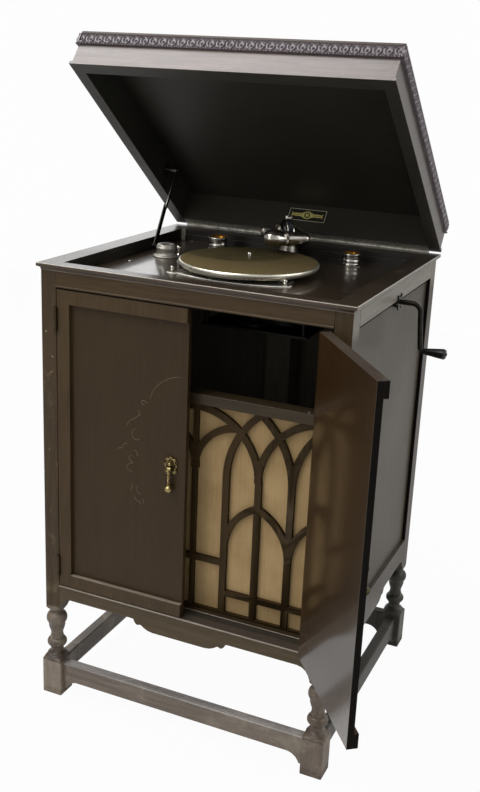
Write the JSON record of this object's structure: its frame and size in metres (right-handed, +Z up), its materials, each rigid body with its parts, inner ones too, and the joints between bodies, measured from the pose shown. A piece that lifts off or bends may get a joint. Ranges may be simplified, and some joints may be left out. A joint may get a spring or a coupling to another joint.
{
  "type": "gramophone cabinet",
  "caption": "Floor-standing wind-up gramophone cabinet with hinged lid, turntable and tonearm, two doors, fretwork grille over a wooden horn, side crank and turned legs.",
  "frame": {"origin": "floor level under the centre of the object's outline box with the lid and right door open", "axes": "+X toward the crank side, -Y toward the front, +Z up"},
  "size_m": [0.6864, 0.7651, 1.2181],
  "materials": {
    "front_legs": "dark varnished wood",
    "back_legs": "dark varnished wood",
    "long_stretchers": "dark varnished wood",
    "side_stretchers": "dark varnished wood",
    "front_top_rail": "dark varnished wood",
    "front_apron": "dark varnished wood",
    "side_rails": "dark varnished wood",
    "back_rails": "dark varnished wood",
    "side_panels": "dark varnished wood",
    "back_panel": "dark varnished wood",
    "bottom_board": "dark varnished wood",
    "top_rim": "dark varnished wood",
    "motor_board": "near-black polished wood",
    "grille_surround": "dark varnished wood",
    "fretwork_grille": "dark varnished wood",
    "grille_cloth": "woven tan speaker cloth",
    "wooden_horn": "dark varnished wood",
    "case_hinge_leaves": "aged brass",
    "lid_hinge_lower_leaf": "nickel plate",
    "stay_foot": "blackened steel",
    "needle_cups": "nickel plate",
    "speed_plate": "nickel plate",
    "deck_screws": "aged brass",
    "tonearm_base": "nickel plate",
    "crank_escutcheon": "blackened steel",
    "motor_frame": "blackened steel",
    "lid_frame": "dark varnished wood",
    "lid_panel": "near-black polished wood",
    "lid_carved_band": "dark varnished wood",
    "lid_label_plate": "aged brass",
    "lid_hinge_upper_leaf": "nickel plate",
    "stay_lid_bracket": "blackened steel",
    "stay_lower_link": "blackened steel",
    "stay_upper_link": "blackened steel",
    "left_door_panel": "dark varnished wood",
    "left_door_frame": "dark varnished wood",
    "left_hinge_leaves": "aged brass",
    "left_pull_plate": "aged brass",
    "right_door_panel": "dark varnished wood",
    "right_door_frame": "dark varnished wood",
    "right_hinge_leaves": "aged brass",
    "right_pull_plate": "aged brass",
    "left_pull_drop": "aged brass",
    "right_pull_drop": "aged brass",
    "platter": "nickel plate",
    "platter_felt": "olive felt",
    "spindle": "nickel plate",
    "speed_lever": "nickel plate",
    "brake_lever": "nickel plate",
    "stop_lever": "nickel plate",
    "tonearm_tube": "nickel plate",
    "gooseneck": "nickel plate",
    "soundbox": "nickel plate",
    "crank_shaft": "blackened steel",
    "crank_handle": "black lacquered wood",
    "spring_barrel": "aged brass",
    "mainspring": "blackened steel",
    "winding_wheel": "blackened steel",
    "drive_wheel": "aged brass",
    "governor": "aged brass"
  },
  "bodies": {
    "cabinet": {"front_legs": "front_legs", "back_legs": "back_legs", "long_stretchers": "long_stretchers", "side_stretchers": "side_stretchers", "front_top_rail": "front_top_rail", "front_apron": "front_apron", "side_rails": "side_rails", "back_rails": "back_rails", "side_panels": "side_panels", "back_panel": "back_panel", "bottom_board": "bottom_board", "top_rim": "top_rim", "motor_board": "motor_board", "grille_surround": "grille_surround", "fretwork_grille": "fretwork_grille", "grille_cloth": "grille_cloth", "wooden_horn": "wooden_horn", "case_hinge_leaves": "case_hinge_leaves", "lid_hinge_lower_leaf": "lid_hinge_lower_leaf", "stay_foot": "stay_foot", "needle_cups": "needle_cups", "speed_plate": "speed_plate", "deck_screws": "deck_screws", "tonearm_base": "tonearm_base", "crank_escutcheon": "crank_escutcheon", "motor_frame": "motor_frame"},
    "lid": {"lid_frame": "lid_frame", "lid_panel": "lid_panel", "lid_carved_band": "lid_carved_band", "lid_label_plate": "lid_label_plate", "lid_hinge_upper_leaf": "lid_hinge_upper_leaf", "stay_lid_bracket": "stay_lid_bracket"},
    "stay_lower": {"stay_lower_link": "stay_lower_link"},
    "stay_upper": {"stay_upper_link": "stay_upper_link"},
    "left_door": {"left_door_panel": "left_door_panel", "left_door_frame": "left_door_frame", "left_hinge_leaves": "left_hinge_leaves", "left_pull_plate": "left_pull_plate"},
    "right_door": {"right_door_panel": "right_door_panel", "right_door_frame": "right_door_frame", "right_hinge_leaves": "right_hinge_leaves", "right_pull_plate": "right_pull_plate"},
    "left_pull": {"left_pull_drop": "left_pull_drop"},
    "right_pull": {"right_pull_drop": "right_pull_drop"},
    "turntable": {"platter": "platter", "platter_felt": "platter_felt", "spindle": "spindle"},
    "speed_control": {"speed_lever": "speed_lever"},
    "brake": {"brake_lever": "brake_lever"},
    "stop_arm": {"stop_lever": "stop_lever"},
    "tonearm": {"tonearm_tube": "tonearm_tube"},
    "sound_head": {"gooseneck": "gooseneck", "soundbox": "soundbox"},
    "crank": {"crank_shaft": "crank_shaft"},
    "crank_grip": {"crank_handle": "crank_handle"},
    "barrel": {"spring_barrel": "spring_barrel", "mainspring": "mainspring"},
    "winding_arbor": {"winding_wheel": "winding_wheel"},
    "drive_train": {"drive_wheel": "drive_wheel"},
    "governor_shaft": {"governor": "governor"}
  },
  "joints": [
    {"name": "lid_hinge", "type": "hinge", "parent": "cabinet", "child": "lid", "pos_m": [-0.059, 0.3402, 0.841], "axis": [1, 0, 0], "range_deg": [0, 37.9]},
    {"name": "stay_lower_pivot", "type": "hinge", "parent": "cabinet", "child": "stay_lower", "pos_m": [-0.301, 0.159, 0.824], "axis": [1, 0, 0], "range_deg": [0, 68.6]},
    {"name": "stay_upper_pivot", "type": "hinge", "parent": "lid", "child": "stay_upper", "pos_m": [-0.2987, 0.24259, 0.96388], "axis": [1, 0, 0], "range_deg": [-102.5, 0]},
    {"name": "left_door_hinge", "type": "hinge", "parent": "cabinet", "child": "left_door", "pos_m": [-0.3084, -0.1752, 0.5], "axis": [0, 0, -1], "range_deg": [0, 160]},
    {"name": "right_door_hinge", "type": "hinge", "parent": "cabinet", "child": "right_door", "pos_m": [0.1904, -0.1752, 0.5], "axis": [0, 0, -1], "range_deg": [-32.3, 127.7]},
    {"name": "left_pull_pivot", "type": "hinge", "parent": "left_door", "child": "left_pull", "pos_m": [-0.0848, -0.1723, 0.514], "axis": [-1, 0, 0], "range_deg": [0, 70]},
    {"name": "right_pull_pivot", "type": "hinge", "parent": "right_door", "child": "right_pull", "pos_m": [0.3224, -0.35073, 0.514], "axis": [0.6115, -0.7912, 0], "range_deg": [0, 70]},
    {"name": "platter_spin", "type": "hinge", "parent": "cabinet", "child": "turntable", "pos_m": [-0.059, 0.072, 0.8385], "axis": [0, 0, 1], "continuous": true},
    {"name": "tonearm_swing", "type": "hinge", "parent": "cabinet", "child": "tonearm", "pos_m": [-0.057, 0.26, 0.868], "axis": [0, 0, 1], "range_deg": [-22, 24]},
    {"name": "sound_head_flip", "type": "hinge", "parent": "tonearm", "child": "sound_head", "pos_m": [0.00333, 0.18277, 0.868], "axis": [0.788, 0.6157, 0], "range_deg": [0, 158.5]},
    {"name": "crank_turn", "type": "hinge", "parent": "cabinet", "child": "crank", "pos_m": [0.221, 0.08, 0.797], "axis": [1, 0, 0], "continuous": true},
    {"name": "crank_grip_spin", "type": "hinge", "parent": "crank", "child": "crank_grip", "pos_m": [0.2835, 0.105, 0.709], "axis": [1, 0, 0], "continuous": true},
    {"name": "speed_lever_pivot", "type": "hinge", "parent": "cabinet", "child": "speed_control", "pos_m": [0.027, 0.016, 0.82], "axis": [0, 0, 1], "range_deg": [-10, 10]},
    {"name": "brake_lever_pivot", "type": "hinge", "parent": "cabinet", "child": "brake", "pos_m": [-0.143, 0.01, 0.82], "axis": [0, 0, 1], "range_deg": [-10, 12]},
    {"name": "stop_lever_pivot", "type": "hinge", "parent": "cabinet", "child": "stop_arm", "pos_m": [-0.209, 0.102, 0.818], "axis": [0, 0, 1], "range_deg": [-20, 20]},
    {"name": "barrel_turn", "type": "hinge", "parent": "cabinet", "child": "barrel", "pos_m": [0.016, 0.08, 0.75], "axis": [0, 0, 1], "continuous": true},
    {"name": "winding_arbor_turn", "type": "hinge", "parent": "cabinet", "child": "winding_arbor", "pos_m": [0.016, 0.08, 0.786], "axis": [0, 0, 1], "continuous": true},
    {"name": "drive_wheel_turn", "type": "hinge", "parent": "cabinet", "child": "drive_train", "pos_m": [-0.0321, 0.0505, 0.73], "axis": [0, 0, 1], "continuous": true},
    {"name": "governor_turn", "type": "hinge", "parent": "cabinet", "child": "governor_shaft", "pos_m": [-0.079, 0.0906, 0.747], "axis": [1, 0, 0], "continuous": true}
  ],
  "couplings": [
    {"joint": "stay_lower_pivot", "follows": "lid_hinge", "ratio": 1.809},
    {"joint": "stay_upper_pivot", "follows": "lid_hinge", "ratio": -2.7028},
    {"joint": "barrel_turn", "follows": "platter_spin", "ratio": 0.035714},
    {"joint": "drive_wheel_turn", "follows": "platter_spin", "ratio": -0.25},
    {"joint": "governor_turn", "follows": "platter_spin", "ratio": -15},
    {"joint": "winding_arbor_turn", "follows": "crank_turn", "ratio": -0.20833}
  ]
}
